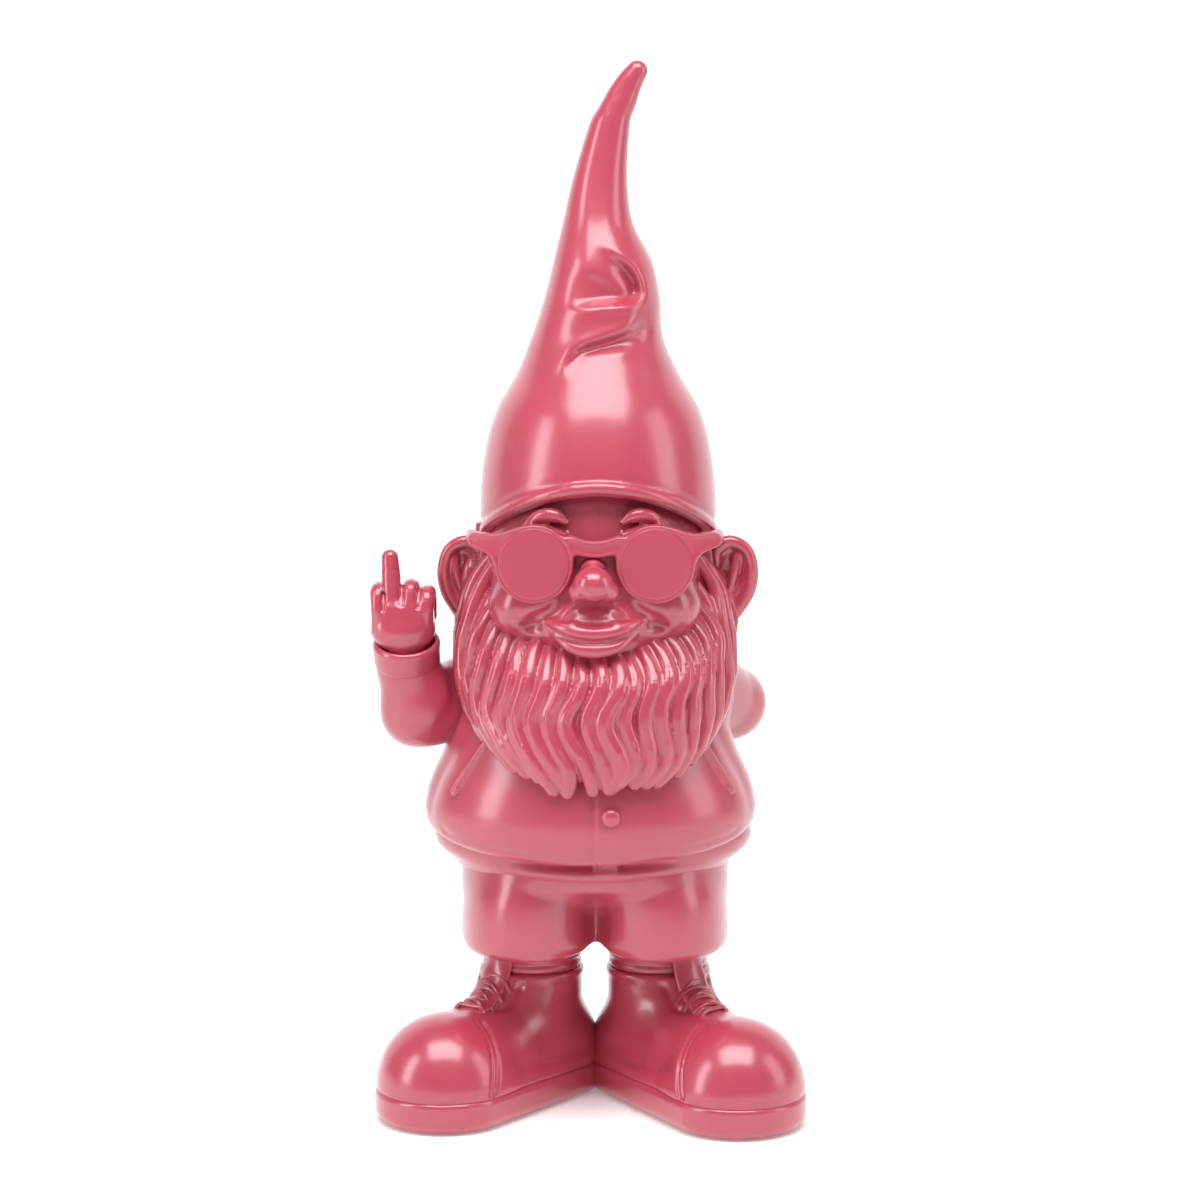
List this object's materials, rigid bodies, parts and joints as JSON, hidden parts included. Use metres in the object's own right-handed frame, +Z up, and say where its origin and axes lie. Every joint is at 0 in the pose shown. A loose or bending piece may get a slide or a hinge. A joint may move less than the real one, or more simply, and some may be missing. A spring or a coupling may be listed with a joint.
{
  "type": "garden gnome figurine",
  "caption": "Standing cast-resin gnome with a tall folded hat, round sunglasses, wavy beard, a fist raised with its middle finger up and heavy laced boots, in glossy coral-pink lacquer.",
  "frame": {"origin": "on the ground, under the middle of the whole figure's bounding box", "axes": "+Z up through the hat, the figure faces -Y, +X towards the figure's own left hand"},
  "size_m": [0.1476, 0.1134, 0.3508],
  "materials": {
    "beard": "glossy coral-pink lacquer over cast resin, fine orange peel",
    "boot_left": "glossy coral-pink lacquer over cast resin, fine orange peel",
    "boot_right": "glossy coral-pink lacquer over cast resin, fine orange peel",
    "cuff_left": "glossy coral-pink lacquer over cast resin, fine orange peel",
    "cuff_right": "glossy coral-pink lacquer over cast resin, fine orange peel",
    "ear_left": "glossy coral-pink lacquer over cast resin, fine orange peel",
    "ear_right": "glossy coral-pink lacquer over cast resin, fine orange peel",
    "hair": "glossy coral-pink lacquer over cast resin, fine orange peel",
    "hand_left": "glossy coral-pink lacquer over cast resin, fine orange peel",
    "hand_right": "glossy coral-pink lacquer over cast resin, fine orange peel",
    "hat": "glossy coral-pink lacquer over cast resin, fine orange peel",
    "head": "glossy coral-pink lacquer over cast resin, fine orange peel",
    "jacket": "glossy coral-pink lacquer over cast resin, fine orange peel",
    "jacket_button": "glossy coral-pink lacquer over cast resin, fine orange peel",
    "laces_left": "glossy coral-pink lacquer over cast resin, fine orange peel",
    "laces_right": "glossy coral-pink lacquer over cast resin, fine orange peel",
    "lens_left": "glossy coral-pink lacquer over cast resin, fine orange peel",
    "lens_right": "glossy coral-pink lacquer over cast resin, fine orange peel",
    "placket": "glossy coral-pink lacquer over cast resin, fine orange peel",
    "pocket_welt_left": "glossy coral-pink lacquer over cast resin, fine orange peel",
    "pocket_welt_right": "glossy coral-pink lacquer over cast resin, fine orange peel",
    "shorts": "glossy coral-pink lacquer over cast resin, fine orange peel",
    "sleeve_left": "glossy coral-pink lacquer over cast resin, fine orange peel",
    "sleeve_right": "glossy coral-pink lacquer over cast resin, fine orange peel",
    "sock_left": "glossy coral-pink lacquer over cast resin, fine orange peel",
    "sock_right": "glossy coral-pink lacquer over cast resin, fine orange peel",
    "sole_left": "glossy coral-pink lacquer over cast resin, fine orange peel",
    "sole_right": "glossy coral-pink lacquer over cast resin, fine orange peel",
    "sunglasses_frame": "glossy coral-pink lacquer over cast resin, fine orange peel",
    "temple_left": "glossy coral-pink lacquer over cast resin, fine orange peel",
    "temple_right": "glossy coral-pink lacquer over cast resin, fine orange peel",
    "tongue_left": "glossy coral-pink lacquer over cast resin, fine orange peel",
    "tongue_right": "glossy coral-pink lacquer over cast resin, fine orange peel",
    "waistband": "glossy coral-pink lacquer over cast resin, fine orange peel"
  },
  "bodies": {
    "root": {"beard": "beard", "boot_left": "boot_left", "boot_right": "boot_right", "cuff_left": "cuff_left", "cuff_right": "cuff_right", "ear_left": "ear_left", "ear_right": "ear_right", "hair": "hair", "hand_left": "hand_left", "hand_right": "hand_right", "hat": "hat", "head": "head", "jacket": "jacket", "jacket_button": "jacket_button", "laces_left": "laces_left", "laces_right": "laces_right", "lens_left": "lens_left", "lens_right": "lens_right", "placket": "placket", "pocket_welt_left": "pocket_welt_left", "pocket_welt_right": "pocket_welt_right", "shorts": "shorts", "sleeve_left": "sleeve_left", "sleeve_right": "sleeve_right", "sock_left": "sock_left", "sock_right": "sock_right", "sole_left": "sole_left", "sole_right": "sole_right", "sunglasses_frame": "sunglasses_frame", "temple_left": "temple_left", "temple_right": "temple_right", "tongue_left": "tongue_left", "tongue_right": "tongue_right", "waistband": "waistband"}
  },
  "joints": []
}
